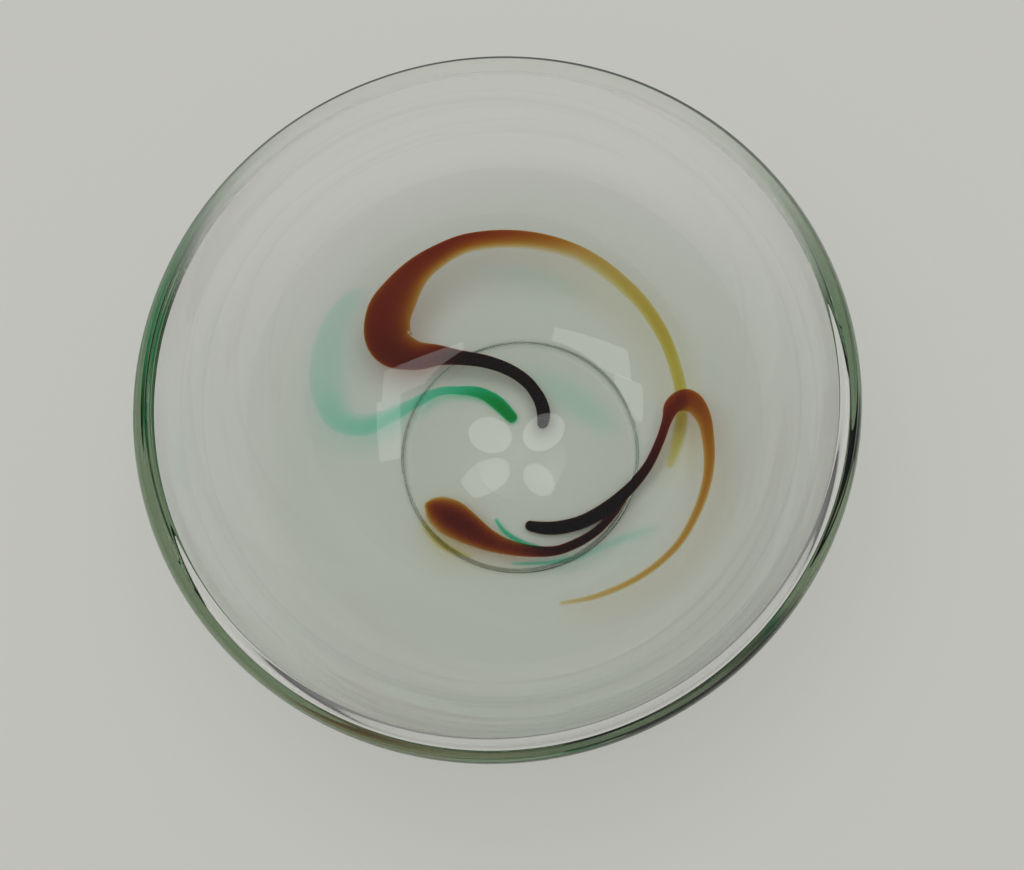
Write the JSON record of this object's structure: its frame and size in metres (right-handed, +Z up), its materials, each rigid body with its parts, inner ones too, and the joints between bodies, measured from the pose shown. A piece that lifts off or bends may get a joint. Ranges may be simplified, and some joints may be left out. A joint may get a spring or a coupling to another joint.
{
  "type": "glass bowl",
  "caption": "Round free-blown bowl of clear glass on a low foot, with a thick floor, a polished pontil hollow and amber and green trails inside the wall.",
  "frame": {"origin": "middle of the plane that the foot rests on", "axes": "+Z up the bowl's axis, out of its mouth; +X and +Y across the bowl, with the broad end of the large amber trail towards -X +Y"},
  "size_m": [0.181, 0.181, 0.085],
  "materials": {
    "clear_glass": "fire-polished clear soda glass with a faint green tint, dark green along the lip",
    "amber_glass": "see-through amber glass, nearly black where thick and straw yellow where thin",
    "green_glass": "see-through teal green glass",
    "pale_green_glass": "see-through green glass, thinned to a pale haze"
  },
  "bodies": {
    "root": {"bowl": "clear_glass", "amber_sweep": "amber_glass", "amber_hook": "amber_glass", "amber_patch": "amber_glass", "green_sweep": "green_glass", "green_threads": "green_glass", "green_haze": "pale_green_glass"}
  },
  "joints": []
}
